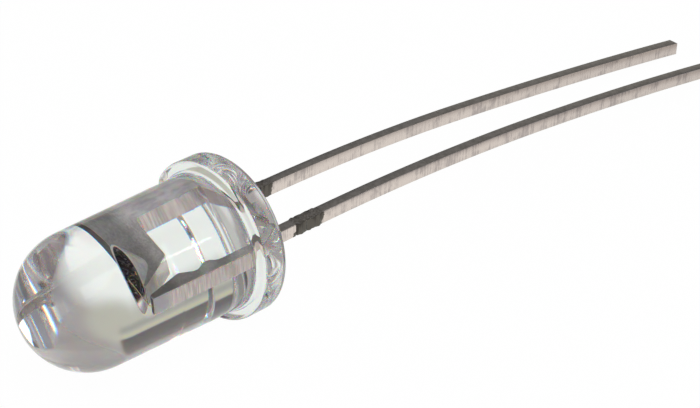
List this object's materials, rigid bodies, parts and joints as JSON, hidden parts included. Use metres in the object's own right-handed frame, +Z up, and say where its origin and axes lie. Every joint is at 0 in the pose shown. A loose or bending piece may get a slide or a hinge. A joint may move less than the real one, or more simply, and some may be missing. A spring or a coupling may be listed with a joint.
{
  "type": "through-hole indicator lamp",
  "caption": "Water-clear round through-hole light-emitting diode: cast dome lens with a flange and a flat, a stamped lead frame with a reflector cup, and leads of uneven length.",
  "frame": {"origin": "midway between the two leads in the seating plane, which the flat ring of the flange's underside lies in", "axes": "+X out of the underside along the leads, with the dome towards -X; +Z up as the part lies on its flange and its lead ends; the cathode, the flat and the shorter lead are on the +Y side"},
  "size_m": [0.0374, 0.0055, 0.0058],
  "materials": {
    "epoxy": "water-clear cast epoxy, polished by the mould",
    "lead_metal": "tin-plated steel, duller on the rolled faces than on the sheared edges",
    "die_paste": "cured silver-filled paste",
    "chip": "polished crystal with a metal bond pad",
    "wire_metal": "drawn gold wire"
  },
  "bodies": {
    "root": {"cast_body": "epoxy", "cathode_frame": "lead_metal", "anode_frame": "lead_metal", "die_attach": "die_paste", "led_chip": "chip", "bond_wire": "wire_metal"}
  },
  "joints": []
}
